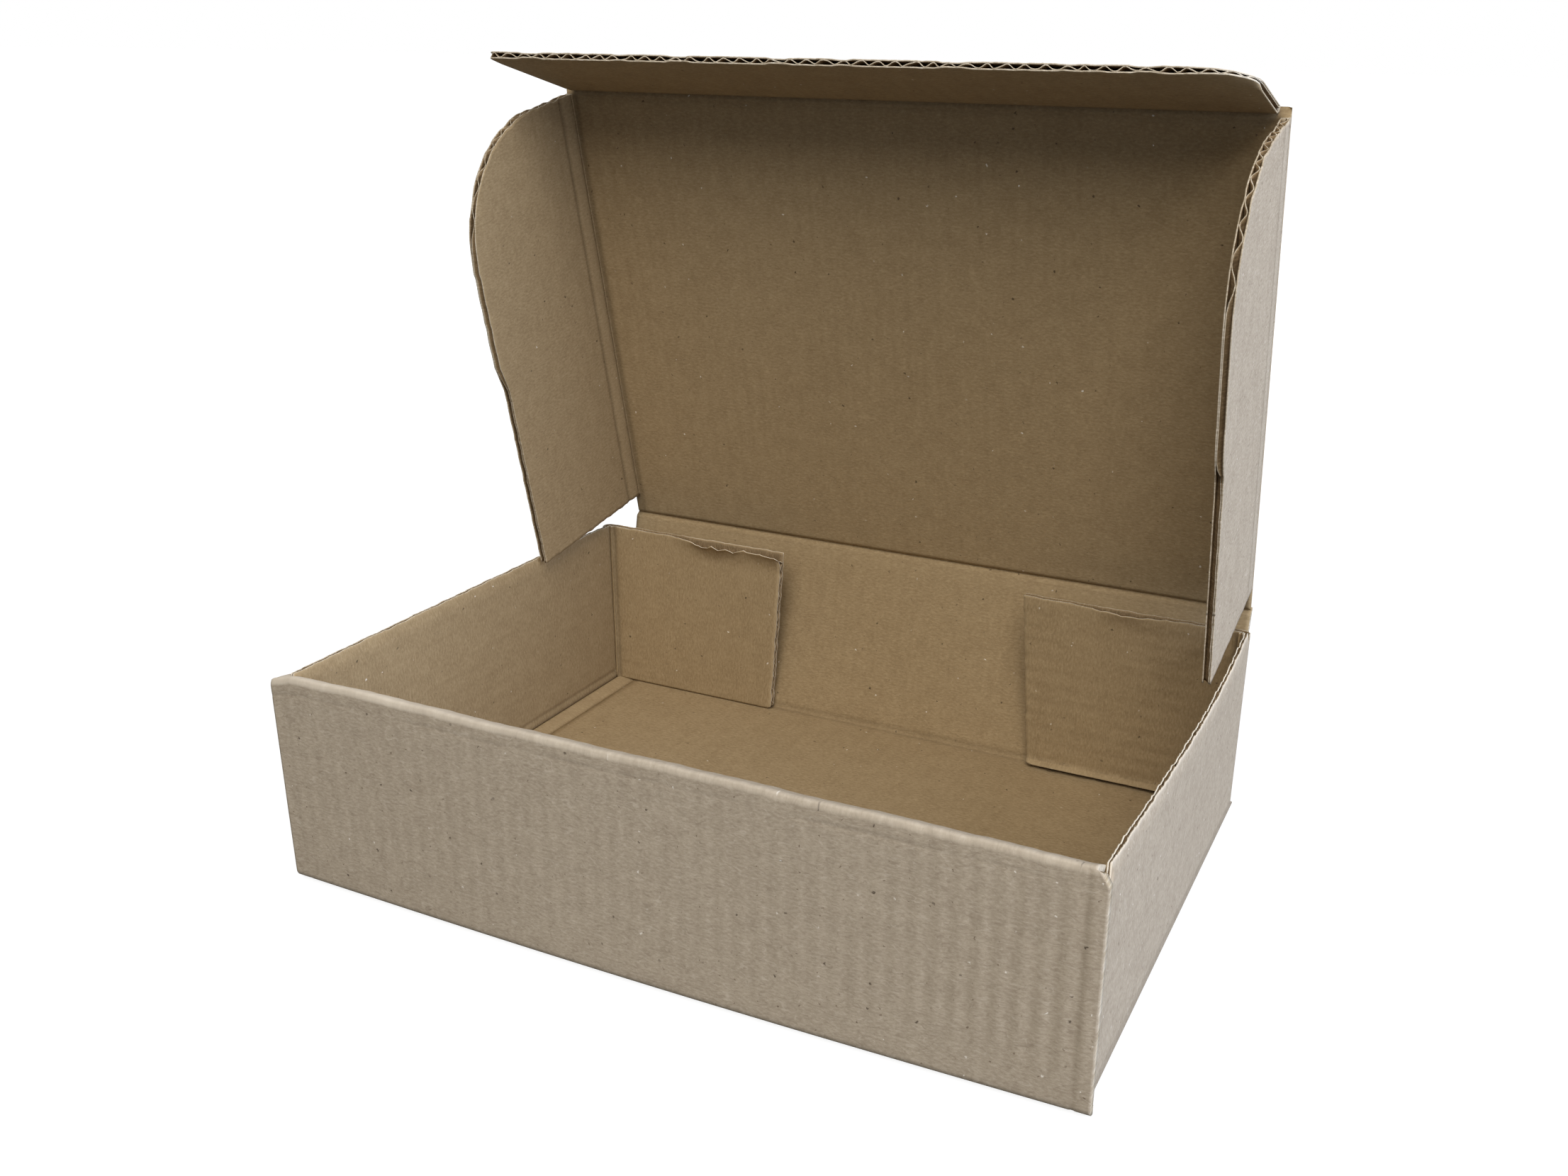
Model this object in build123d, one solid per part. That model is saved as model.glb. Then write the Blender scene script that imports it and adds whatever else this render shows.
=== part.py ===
from build123d import *
import os
from math import cos, radians, sin

# A small mailing box, folded from one die-cut sheet of fine corrugated board and standing open.
# All lengths are millimetres. The origin is the middle of the bottom, +Z is up, -Y is the front.

# Board
board = 1.6
liner = 0.28
medium = 0.22
flute_pitch = 3.3
flute_wide_share = 0.34
flute_narrow_share = 0.06
fold_radius = 1.0
layer_gap = 0.2
crease_clearance = 0.15
overrun = 5.0

# Tray
inner_width = 149.0
inner_depth = 100.0
wall_height = 40.6
foot_gap = 0.6

# Rolled front wall
front_overhang = 0.8
roll_rise = 1.1
roll_drop = 1.3
roll_radius = 1.2
roll_side_gap = 0.5
corner_bevel = 1.2
front_tab_length = 45.0
tongue_width = 24.0
tongue_spacing = 74.0
tongue_clearance = 0.3

# Loose tabs at the back ends of the side walls
back_tab_length = 45.7
back_tab_taper = 3.0
back_tab_foot_radius = 3.0
back_tab_tip_radius = 0.8
back_tab_gap = 0.3

# Back wall
back_wall_side_gap = 0.5
back_wall_lean = 12.5

# Lid, given by its gaps to the tray when it is shut
lid_rise = 0.8
lid_side_gap = 0.65
lid_front_gap = 0.6
lid_angle = 78.0

# Ears of the lid
ear_angle = 90.5
ear_floor_gap = 0.6
ear_front_gap = 1.0
ear_front_radius = 25.0
ear_step = 1.4
ear_step_start = 47.0
ear_step_length = 7.5
ear_step_radius = 8.0
ear_rear_gap = 5.3
ear_rear_taper = 1.7
ear_rear_radius = 2.5

# Tuck flap of the lid
tuck_angle = 115.0
tuck_length = 28.0
tuck_side_gap = 0.45
tuck_crease_clearance = 0.32
tuck_corner_radius = 1.0
tuck_worn_corner_radius = 7.0

# Sizes that follow
half_board = board / 2
fold_end = half_board + crease_clearance
depth = inner_depth + 4 * board + 2 * layer_gap
front = -depth / 2
back = depth / 2
wall_inner = inner_width / 2
wall_outer = wall_inner + board
wall_front = front + board + layer_gap
wall_back = back - board - back_tab_gap
front_half = wall_outer + front_overhang
front_height = wall_height + roll_rise
front_inner = front + 3 * board + 2 * layer_gap
roll_half = wall_inner - roll_side_gap
back_fold_y = back - half_board
back_wall_half = wall_inner - back_wall_side_gap
back_wall_height = wall_height + lid_rise
lid_half = wall_inner - half_board - lid_side_gap
lid_length = back_fold_y - front_inner - lid_front_gap - half_board
ear_width = back_wall_height + half_board - board - ear_floor_gap
ear_rear_width = ear_width - ear_step
tuck_half = lid_half - half_board - tuck_side_gap


def outline(points, radii):
    """A closed face whose corners are rounded by the given radii."""
    return make_face(FilletPolyline(*points, radius=radii, close=True).edges())


def along_x(profile, half):
    """A profile drawn in Y and Z, drawn out to the same distance on both sides."""
    return extrude(Plane.YZ * profile, amount=half, both=True)


def under_roll(y):
    """Height of the underside of the front roll's sloping top."""
    return front_height - board - roll_drop * (y - front) / (front_inner - front)


def flutes(start, end, run):
    """The hollows of the corrugation between start and end across, running along Y."""
    count = int((end - start) / flute_pitch)
    first = (start + end - (count - 1) * flute_pitch) / 2
    base = half_board - liner
    tip = base - medium
    wide = flute_wide_share * flute_pitch
    narrow = flute_narrow_share * flute_pitch
    upper = make_face(Polyline((-wide, base), (wide, base), (narrow, -tip), (-narrow, -tip), close=True))
    lower = mirror(upper, about=Plane.XZ)
    hollows = []
    for index in range(count):
        middle = first + index * flute_pitch
        hollows.append(Pos(middle - flute_pitch / 4, 0) * upper)
        hollows.append(Pos(middle + flute_pitch / 4, 0) * lower)
    section = Plane.XZ * (Sketch() + hollows)
    return Pos(0, -overrun, 0) * extrude(section, amount=run + 2 * overrun, dir=(0, 1, 0))


def make_walls():
    """Floor and both side walls as one channel, with a tab folded in at each end of each wall."""
    channel = outline(
        [
            (-wall_outer, wall_height),
            (-wall_outer, 0),
            (wall_outer, 0),
            (wall_outer, wall_height),
            (wall_inner, wall_height),
            (wall_inner, board),
            (-wall_inner, board),
            (-wall_inner, wall_height),
        ],
        [0, fold_radius, fold_radius, 0, 0, 0, 0, 0],
    )
    length = wall_back - wall_front
    walls = Pos(0, wall_front, 0) * extrude(Plane.XZ * channel, amount=length, dir=(0, 1, 0))
    foot = board + foot_gap
    tab_tip = wall_inner - back_tab_length
    back_tab = outline(
        [
            (wall_outer, foot),
            (wall_outer, wall_height),
            (tab_tip, wall_height),
            (tab_tip + back_tab_taper, foot),
        ],
        [0, 0, back_tab_tip_radius, back_tab_foot_radius],
    )
    front_tab_tip = wall_inner - front_tab_length
    front_tab = outline(
        [
            (wall_inner, foot),
            (wall_inner, wall_height),
            (front_tab_tip, wall_height),
            (front_tab_tip, foot),
        ],
        [0, 0, 0, back_tab_foot_radius],
    )
    tabs = Pos(0, wall_back - board, 0) * extrude(Plane.XZ * back_tab, amount=board, dir=(0, 1, 0))
    tabs += Pos(0, wall_front, 0) * extrude(Plane.XZ * front_tab, amount=board, dir=(0, 1, 0))
    walls = walls + tabs + mirror(tabs, about=Plane.YZ)
    corners = walls.edges().filter_by(Axis.Z).group_by(Axis.Y)[-1]
    folds = [corners.sort_by(Axis.X)[0], corners.sort_by(Axis.X)[-1]]
    roll_end = front_inner + layer_gap
    room = Polyline(
        (wall_front, under_roll(wall_front) - layer_gap),
        (roll_end, under_roll(roll_end) - layer_gap),
        (roll_end, wall_height + overrun),
        (wall_front, wall_height + overrun),
        close=True,
    )
    return fillet(folds, fold_radius) - along_x(make_face(room), front_half)


def make_front():
    """Front wall rolled over the front tabs: outer panel, sloping top and inner panel in one strip."""
    inner_foot = board + foot_gap
    roll = outline(
        [
            (front, 0),
            (front, front_height),
            (front_inner, front_height - roll_drop),
            (front_inner, inner_foot),
            (front_inner - board, inner_foot),
            (front_inner - board, under_roll(front_inner - board)),
            (front + board, under_roll(front + board)),
            (front + board, board),
            (wall_front + board, board),
            (wall_front + board, 0),
        ],
        [fold_radius, roll_radius, fold_radius, 0, 0, 0, 0, 0, 0, 0],
    )
    panel_and_top = outline(
        [
            (front, 0),
            (front, front_height),
            (front_inner, front_height - roll_drop),
            (front_inner, under_roll(front_inner)),
            (front + board, under_roll(front + board)),
            (front + board, 0),
        ],
        [fold_radius, roll_radius, fold_radius, 0, 0, 0],
    )
    bevel = Plane.XZ * Pos(front_half, front_height) * RegularPolygon(corner_bevel, 4)
    corner = Pos(0, front, 0) * extrude(bevel, amount=front_inner - front, both=True)
    wings = along_x(panel_and_top, front_half) - corner - mirror(corner, about=Plane.YZ)
    return wings + along_x(roll, roll_half)


def make_tray():
    """Everything that stays put: floor, side walls, tabs and the rolled front wall."""
    tail_length = back_fold_y - wall_back + board
    tail = Pos(back_fold_y, half_board) * Circle(half_board)
    tail += Pos(back_fold_y - tail_length / 2, half_board) * Rectangle(tail_length, board)
    tray = make_walls() + make_front() + along_x(tail, back_wall_half)
    tongue_height = board + foot_gap - layer_gap
    slot_width = tongue_width + 2 * tongue_clearance
    slot_depth = board + 2 * tongue_clearance
    for side in (-1, 1):
        place = Pos(side * tongue_spacing / 2, front_inner - half_board)
        tray -= place * Pos(0, 0, half_board) * Box(slot_width, slot_depth, board + foot_gap)
        tray += place * Pos(0, 0, layer_gap + tongue_height / 2) * Box(tongue_width, board, tongue_height)
    return tray


def make_back_wall():
    """Back wall, flat in X and Y, with a rounded fold at its top."""
    rise = back_wall_height - fold_end
    panel = Pos(0, fold_end + rise / 2) * Rectangle(2 * back_wall_half, rise)
    fold = Pos(0, back_wall_height, 0) * Rot(0, 90, 0) * Cylinder(half_board, 2 * back_wall_half)
    return extrude(panel, amount=half_board, both=True) + fold


def make_lid():
    """Lid panel, flat in X and Y, with rounded folds at both sides and at the front."""
    length = lid_length - fold_end
    middle = fold_end + length / 2
    panel = extrude(Pos(0, middle) * Rectangle(2 * lid_half, length), amount=half_board, both=True)
    side_fold = Rot(90, 0, 0) * Cylinder(half_board, length)
    folds = Pos(0, lid_length, 0) * Rot(0, 90, 0) * Cylinder(half_board, 2 * lid_half)
    for side in (-1, 1):
        folds += Pos(side * lid_half, middle, 0) * side_fold
        folds += Pos(side * lid_half, lid_length, 0) * Sphere(half_board)
    return panel + folds


def make_ear():
    """Ear of the lid, flat: X runs from the fold to the free edge, Y from the hinge to the front."""
    ear_front = lid_length - ear_front_gap
    blank = outline(
        [
            (fold_end, ear_rear_gap),
            (ear_rear_width, ear_rear_gap + ear_rear_taper),
            (ear_rear_width, ear_step_start),
            (ear_width, ear_step_start + ear_step_length),
            (ear_width, ear_front),
            (fold_end, ear_front),
        ],
        [0, ear_rear_radius, ear_step_radius, ear_step_radius, ear_front_radius, 0],
    )
    return extrude(blank, amount=half_board, both=True) - flutes(fold_end, ear_rear_width, lid_length)


def make_tuck_flap():
    """Tuck flap, flat: Y runs from the fold to the free edge, across the flutes' open ends."""
    start = half_board + tuck_crease_clearance
    blank = outline(
        [
            (-tuck_half, start),
            (-tuck_half, tuck_length),
            (tuck_half, tuck_length),
            (tuck_half, start),
        ],
        [0, tuck_corner_radius, tuck_worn_corner_radius, 0],
    )
    return extrude(blank, amount=half_board, both=True) - flutes(-tuck_half, tuck_half, tuck_length)


def turned(origin, across, normal):
    """Where a flat piece goes: its origin, the way its X points and its normal."""
    return Plane(origin=origin, x_dir=across, z_dir=normal).location


# Each fold's place on the piece that carries it
lean = radians(back_wall_lean)
open_lid = radians(lid_angle)
open_ear = radians(ear_angle)
open_tuck = radians(tuck_angle)
back_wall_place = turned((0, back_fold_y, half_board), (1, 0, 0), (0, -cos(lean), sin(lean)))
hinge = (0, back_fold_y + back_wall_height * sin(lean), half_board + back_wall_height * cos(lean))
lid_place = turned(hinge, (1, 0, 0), (0, -sin(open_lid), -cos(open_lid)))
ear_across = (cos(open_ear), 0, sin(open_ear))
ear_place = turned((-lid_half, 0, 0), ear_across, (-sin(open_ear), 0, cos(open_ear)))
tuck_place = turned((0, lid_length, 0), (1, 0, 0), (0, -sin(open_tuck), -cos(open_tuck)))

left_ear = lid_place * ear_place * make_ear()
pieces = {
    "tray": make_tray(),
    "back_wall": back_wall_place * make_back_wall(),
    "lid": lid_place * make_lid(),
    "left_ear": left_ear,
    "right_ear": mirror(left_ear, about=Plane.YZ),
    "tuck_flap": lid_place * tuck_place * make_tuck_flap(),
}

os.makedirs("parts", exist_ok=True)
for name, piece in pieces.items():
    export_step(piece, os.path.join("parts", name + ".step"))
    print(name, "volume", round(piece.volume), "solids", len(piece.solids()))
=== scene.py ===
# %% [markdown]
# # A small corrugated mailing box, standing open
# The box is folded from one die-cut sheet of fine-flute board: two paper liners with a wavy paper
# between them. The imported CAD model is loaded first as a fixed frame. Each panel of the sheet is then
# made again with its liners, flutes, creases and torn edges, and rides on the CAD body that it covers.

# %% Load the frame
import math

import bmesh
import bpy
import numpy as np
from mathutils import Matrix, Vector


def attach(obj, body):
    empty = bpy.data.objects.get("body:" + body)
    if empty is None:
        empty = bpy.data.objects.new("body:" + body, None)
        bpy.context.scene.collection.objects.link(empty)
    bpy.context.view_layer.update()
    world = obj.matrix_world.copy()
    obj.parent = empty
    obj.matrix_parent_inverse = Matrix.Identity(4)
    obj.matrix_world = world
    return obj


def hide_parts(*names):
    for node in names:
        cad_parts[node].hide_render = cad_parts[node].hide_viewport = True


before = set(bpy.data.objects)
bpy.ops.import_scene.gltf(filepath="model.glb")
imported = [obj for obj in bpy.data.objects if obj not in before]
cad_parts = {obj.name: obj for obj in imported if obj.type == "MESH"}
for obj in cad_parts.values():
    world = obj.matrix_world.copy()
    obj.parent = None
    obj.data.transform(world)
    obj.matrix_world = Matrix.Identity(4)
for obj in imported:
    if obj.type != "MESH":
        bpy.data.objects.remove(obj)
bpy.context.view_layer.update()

# %% [markdown]
# ## Sizes
# The CAD source works in millimetres, so the panels are drawn in millimetres here and made metres when
# their points are set. The names follow the box: the back wall leans back, the lid stands on it, and the
# ears and the tuck flap are folded from the lid. Most values are on the middle of the board.

# %% Sizes of the board and the tray
MM = 0.001
BOARD = 1.6
HALF = BOARD / 2
LINER = 0.23
FLUTING = 0.18
PITCH = 3.3
BEND = 1.0
WALL_X = 75.3
WALL_TOP = 40.6
WALL_FRONT = -51.6
WALL_BACK = 51.5
FLOOR_Z = HALF
FOOT = 2.2
FRONT_FACE = -53.4
FRONT_Y = FRONT_FACE + HALF
INNER_FRONT_Y = -49.0
FRONT_HALF = 76.9
FRONT_HEIGHT = 41.7
ROLL_HALF = 74.0
ROLL_DEPTH = 5.2
ROLL_RISE = 1.0
ROLL_DROP = 2.8
ROLL_SLOPE = math.atan(ROLL_DROP / ROLL_DEPTH)
LAYER_GAP = 0.2


def roll_top(y):
    """Height of the roll's top, which springs up at the front and comes down towards the inside."""
    return FRONT_HEIGHT + ROLL_RISE - ROLL_DROP * (y - FRONT_FACE) / ROLL_DEPTH


print("roll's top falls from", roll_top(FRONT_Y), "to", round(roll_top(INNER_FRONT_Y), 2), "mm")

# %% Places of the back wall and the lid
BACK_FOLD = Vector((0.0, 52.6, HALF))
BACK_HEIGHT = 41.4
BACK_HALF = 74.0
LID_HALF = 73.05
LID_LENGTH = 99.4
LEAN = math.radians(12.5)
LID_RISE = math.radians(78.0)
ACROSS = Vector((1.0, 0.0, 0.0))
BACK_UP = Vector((0.0, math.sin(LEAN), math.cos(LEAN)))
BACK_IN = Vector((0.0, -math.cos(LEAN), math.sin(LEAN)))
HINGE = BACK_FOLD + BACK_HEIGHT * BACK_UP
LID_UP = Vector((0.0, -math.cos(LID_RISE), math.sin(LID_RISE)))
LID_IN = Vector((0.0, -math.sin(LID_RISE), -math.cos(LID_RISE)))
LID_FRONT = HINGE + LID_LENGTH * LID_UP
HINGE_ON_SHEET = BACK_FOLD.y + BACK_HEIGHT
print("hinge line at", [round(value, 2) for value in HINGE], "mm")

# %% [markdown]
# ## Colours and nodes
# Uncoated recycled kraft paper is matt and slightly mottled. Its fibres show as short thin hairs, some
# dark and some pale, and there are a few specks of waste paper. A hex value is sRGB, so one function
# makes it linear. One small function adds a node with its settings and links, and the others call it.

# %% Helpers for materials
def tint(code):
    """A linear colour from an sRGB hex value."""
    parts = [int(code[k:k + 2], 16) / 255 for k in (1, 3, 5)]
    return tuple(p / 12.92 if p <= 0.04045 else ((p + 0.055) / 1.055) ** 2.4 for p in parts) + (1.0,)


def add(tree, kind, inputs, **settings):
    """Adds one node, sets it up and links or fills its inputs."""
    node = tree.nodes.new(kind)
    for key, value in settings.items():
        setattr(node, key, value)
    for key, value in inputs.items():
        if isinstance(value, bpy.types.NodeSocket):
            tree.links.new(value, node.inputs[key])
        else:
            node.inputs[key].default_value = value
    return node


def calc(tree, operation, *values):
    """The result of a sum on numbers."""
    return add(tree, "ShaderNodeMath", dict(enumerate(values)), operation=operation).outputs[0]


def vector_calc(tree, operation, *values):
    """The result of a sum on vectors."""
    return add(tree, "ShaderNodeVectorMath", dict(enumerate(values)), operation=operation).outputs[0]


def graded(tree, value, low, high, start, end):
    """A value that goes from start to end while another goes from low to high."""
    return add(tree, "ShaderNodeMapRange", {0: value, 1: low, 2: high, 3: start, 4: end}).outputs[0]


def per_mm(size):
    """The texture scale that makes a pattern repeat at about this many millimetres."""
    return 1 / (size * MM)


# %% [markdown]
# ## Kraft liner
# The mottle is a soft noise of a few millimetres with a finer grain over it. A fibre is a thin contour
# line of another noise, cut into short pieces by a third. Each point also carries a sheet attribute: its
# place on the flat sheet in millimetres, across and along the flutes, and its wear and painted light.
# Grain, fibres, specks and the faint washboard of the flutes follow that place, so they run on from panel
# to panel as on one sheet. Wear above 0 is rubbed pale, and in places it is a painted highlight on a bulge
# or fold. Below 0 it is painted shade that darkens creases, grooves and gaps. A picture of paper could be
# used instead, but it would repeat and have one fixed size, so the finish is made of nodes.

# %% Sizes of the paper's pattern
CLOUD_SIZE = 3.6
PATCH_SIZE = 30.0
PATCH_SHARE = 0.14
GRAIN_SIZE = 0.42
FIBRE_SIZE = 1.7
FIBRE_BREAK = 1.1
FIBRE_STRETCH = 0.45
SHAKE_SIZE = 0.6
SHAKE = 0.8
SPECKS = ((8.0, 0.27, 1.5, "#40342a"), (3.6, 0.17, 1.0, "#6a5a48"), (6.3, 0.2, 0.7, "#efe8dc"))
# Painted shade: creases, grooves and the gaps between liners are darkened to this tone.
PAINTED_SHADE_TONE = "#3f3122"
PAPER_ROUGHNESS = 0.88
PAPER_GLOSS = 0.1
BUMP_STRENGTH = 0.3
BUMP_HEIGHT = 0.00015
print("specks with a radius of", [radius for _, radius, _, _ in SPECKS], "mm")


# %% The liner material
def kraft(name, ground, deep, pale, mottle, hairs):
    """Uncoated recycled kraft: matt, slightly mottled, with fibres and specks."""
    material = bpy.data.materials.new(name)
    material.use_nodes = True
    tree = material.node_tree
    shader = tree.nodes["Principled BSDF"]
    place = add(tree, "ShaderNodeTexCoord", {}).outputs["Object"]
    sheet = add(tree, "ShaderNodeAttribute", {}, attribute_name="sheet").outputs["Vector"]
    across, _, wear_and_painted_light = add(tree, "ShaderNodeSeparateXYZ", {0: sheet}).outputs

    def blend(factor, colour, shade):
        mix = add(tree, "ShaderNodeMix", {0: factor, 6: colour, 7: tint(shade)}, data_type="RGBA")
        return mix.outputs[2]

    def noise(vector, scale, **more):
        return add(tree, "ShaderNodeTexNoise", {"Vector": vector, "Scale": scale, **more}).outputs

    # Mottle and grain
    flat_place = vector_calc(tree, "MULTIPLY", sheet, (1.0, 1.0, 0.0))
    drawn_out = vector_calc(tree, "MULTIPLY", sheet, (FIBRE_STRETCH, 1.0, 0.0))
    cloud = noise(place, per_mm(CLOUD_SIZE), Detail=5.0, Roughness=0.62)["Fac"]
    colour = blend(graded(tree, cloud, 0.35, 0.68, 0.0, mottle), tint(ground), deep)
    grain = noise(drawn_out, 1 / GRAIN_SIZE, Detail=3.0, Roughness=0.7)["Fac"]
    colour = blend(graded(tree, grain, 0.48, 0.7, 0.0, 1.5 * mottle), colour, deep)
    colour = blend(graded(tree, grain, 0.48, 0.28, 0.0, 1.2 * mottle), colour, pale)

    # Fibres
    for seed, tone, share in ((3.1, deep, hairs), (7.7, pale, 0.7 * hairs)):
        moved = vector_calc(tree, "ADD", drawn_out, (0.0, 0.0, seed))
        lines = noise(moved, 1 / FIBRE_SIZE, Detail=1.0, Distortion=0.6)["Fac"]
        near = calc(tree, "ABSOLUTE", calc(tree, "SUBTRACT", lines, 0.5))
        hair = graded(tree, near, 0.01, 0.036, 1.0, 0.0)
        gate = noise(moved, 1 / FIBRE_BREAK, Detail=0.0)["Fac"]
        gate = graded(tree, gate, 0.55, 0.66, 0.0, share)
        colour = blend(calc(tree, "MULTIPLY", hair, gate), colour, tone)

    # Specks
    shake = noise(flat_place, 1 / SHAKE_SIZE, Detail=1.0)["Color"]
    flat_place = vector_calc(tree, "MULTIPLY_ADD", shake, (SHAKE, SHAKE, 0.0), flat_place)
    for spacing, radius, part, tone in SPECKS:
        share = part * hairs
        dots = add(tree, "ShaderNodeTexVoronoi", {"Vector": flat_place, "Scale": 1 / spacing},
                   voronoi_dimensions="2D")
        lot = add(tree, "ShaderNodeSeparateColor", {0: dots.outputs["Color"]}).outputs[0]
        lot = graded(tree, lot, share, 0.5 * share, 0.0, 0.75)
        size = radius / spacing
        dot = graded(tree, dots.outputs["Distance"], 0.5 * size, size, 1.0, 0.0)
        colour = blend(calc(tree, "MULTIPLY", dot, lot), colour, tone)

    # Washboard, wear and painted light: above 0 rubbed pale and in places a painted highlight, below 0
    # painted shade
    wave = calc(tree, "SINE", calc(tree, "MULTIPLY", across, 2 * math.pi / PITCH))
    patch = noise(place, per_mm(PATCH_SIZE), Detail=2.0)["Fac"]
    patch = graded(tree, patch, 0.35, 0.7, 0.0, PATCH_SHARE)
    colour = blend(calc(tree, "MULTIPLY", wave, patch), colour, deep)
    colour = blend(wear_and_painted_light, colour, pale)
    # Painted shade: values below 0 darken the paper towards the shade tone.
    colour = blend(calc(tree, "MULTIPLY", wear_and_painted_light, -1.0), colour, PAINTED_SHADE_TONE)
    tree.links.new(colour, shader.inputs["Base Color"])
    shader.inputs["Roughness"].default_value = PAPER_ROUGHNESS
    shader.inputs["Specular IOR Level"].default_value = PAPER_GLOSS
    height = calc(tree, "ADD", grain, cloud)
    bump = add(tree, "ShaderNodeBump", {"Height": height, "Strength": BUMP_STRENGTH, "Distance": BUMP_HEIGHT})
    tree.links.new(bump.outputs[0], shader.inputs["Normal"])
    return material


# %% The four papers of the board
OUTSIDE = kraft("Recycled kraft liner, outside", "#b6a894", "#938472", "#d0c4b2", 0.36, 0.45)
INSIDE = kraft("Recycled kraft liner, inside", "#a28d6c", "#846f51", "#bfa985", 0.34, 0.24)
CORE = kraft("Fluting paper", "#8d7658", "#65533c", "#b09a78", 0.5, 0.2)
CUT = kraft("Cut liner edge", "#c0b29b", "#8f7e63", "#e6dccb", 0.5, 0.2)
PAPERS = [OUTSIDE, INSIDE, CORE, CUT]
print("papers:", [paper.name for paper in PAPERS])

# %% Which papers a layer shows: outer side, inner side and rim
OUT, IN, MID, RIM = range(len(PAPERS))
WHOLE_BOARD = (OUT, IN, RIM)
OUTER_LINER = (OUT, MID, RIM)
INNER_LINER = (MID, IN, RIM)
FLUTES = (MID, MID, RIM)
CRUSHED_CORE = (MID, MID, MID)
print("a whole board shows papers", WHOLE_BOARD)

# %% [markdown]
# ## Making board
# A layer of paper is a closed slab between two surfaces. Each surface starts as a grid, whose points are
# set from an array, and the two rims are bridged. A panel has two liners and the fluting, so cut edges
# show what the real board shows. A solidify modifier would be quicker but gives every layer one even
# thickness, without crushed or parted edges. Seeded ripples give each edge its own small faults.

# %% Ripples, dents and fades
RIPPLE_SHARES = (0.5, 0.83, 1.31, 2.1)
RIPPLE_CALM = 2.2
NOSE_TIP = 0.02
WAVE_HEIGHT = HALF - LINER - FLUTING / 2


def ripple(seed, where, length):
    """A smooth uneven line between about -1 and 1, with bumps of about this length."""
    dice = np.random.RandomState(seed)
    where = np.asarray(where, float)
    total = np.zeros_like(where)
    for share in RIPPLE_SHARES:
        total += np.sin(2 * math.pi * where / (length * share) + dice.uniform(0, 6.28)) / RIPPLE_CALM
    return total


def dent(where, middle, width):
    """A rounded valley of depth 1 about a line."""
    return np.exp(-(((where - middle) / width) ** 2))


def ramp(where, low, high):
    """0 before low, 1 after high, and a straight climb between them."""
    return np.clip((where - low) / (high - low), 0, 1)


def fade(where, length):
    """1 at an edge, falling straight to 0 at this length from it."""
    return np.clip(1 - where / length, 0, 1)


def flute_wave(where):
    """The wave of the flutes at a place across them."""
    return np.sin(2 * math.pi * where / PITCH)


def nose_depth(distance, radius):
    """Half of the board's thickness at a distance past a fold's line."""
    return np.sqrt(np.clip(radius ** 2 - np.clip(distance, 0, radius) ** 2, NOSE_TIP ** 2, None))


# %% Layers and pieces
def layer(bm, records, low, high, sheet, skins):
    """One closed slab of paper between two surfaces, with its outer, inner and rim papers."""
    rows, columns = low.shape[:2]
    made = []
    for points, skin in ((low, skins[0]), (high, skins[1])):
        net = bmesh.ops.create_grid(bm, x_segments=rows - 1, y_segments=columns - 1, size=0.5)
        for vert in net["verts"]:
            i = round((vert.co.x + 0.5) * (rows - 1))
            j = round((vert.co.y + 0.5) * (columns - 1))
            vert.co = points[i, j] * MM
            records.append(sheet[i, j])
        for face in {face for vert in net["verts"] for face in vert.link_faces}:
            face.material_index = skin
            face.smooth = True
        made += net["verts"]
    edges = [edge for edge in {edge for vert in made for edge in vert.link_edges} if edge.is_boundary]
    for face in bmesh.ops.bridge_loops(bm, edges=edges)["faces"]:
        face.material_index = skins[2]


def finish_piece(name, bm, records, body, node):
    """The bmesh as an object that rides on a body in place of its CAD node."""
    bmesh.ops.recalc_face_normals(bm, faces=bm.faces[:])
    mesh = bpy.data.meshes.new(name)
    bm.to_mesh(mesh)
    bm.free()
    attribute = mesh.attributes.new("sheet", "FLOAT_VECTOR", "POINT")
    attribute.data.foreach_set("vector", np.asarray(records, np.float32).ravel())
    for paper in PAPERS:
        mesh.materials.append(paper)
    piece = bpy.data.objects.new(name, mesh)
    bpy.context.scene.collection.objects.link(piece)
    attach(piece, body)
    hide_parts(node)
    print(name, len(mesh.polygons), "faces")


# %% [markdown]
# ## Panels
# A flat panel is laid out by a corner point and three directions: across, along and inwards. A folded
# strip follows a line with rounded corners instead. Either way the result is an array of points on the
# middle of the board and an array of normals that point to the inner liner. Arrays are used because each
# crease and bow is then one line of arithmetic on all the points at once.

# %% Flat panels
def grid(first, second):
    """Two arrays of distances for all pairs of two lists."""
    return np.meshgrid(first, second, indexing="ij")


def flat(origin, across, along, inward, first, second):
    """Points and normals of a flat panel for two arrays of distances."""
    across, along, inward = (np.array(direction) for direction in (across, along, inward))
    points = np.array(origin) + first[..., None] * across + second[..., None] * along
    return points, np.broadcast_to(inward, points.shape)


# %% Folded strips
def turned(way, angle):
    """A flat direction turned to the left by an angle."""
    return np.array((way[0] * math.cos(angle) - way[1] * math.sin(angle),
                     way[0] * math.sin(angle) + way[1] * math.cos(angle)))


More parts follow.
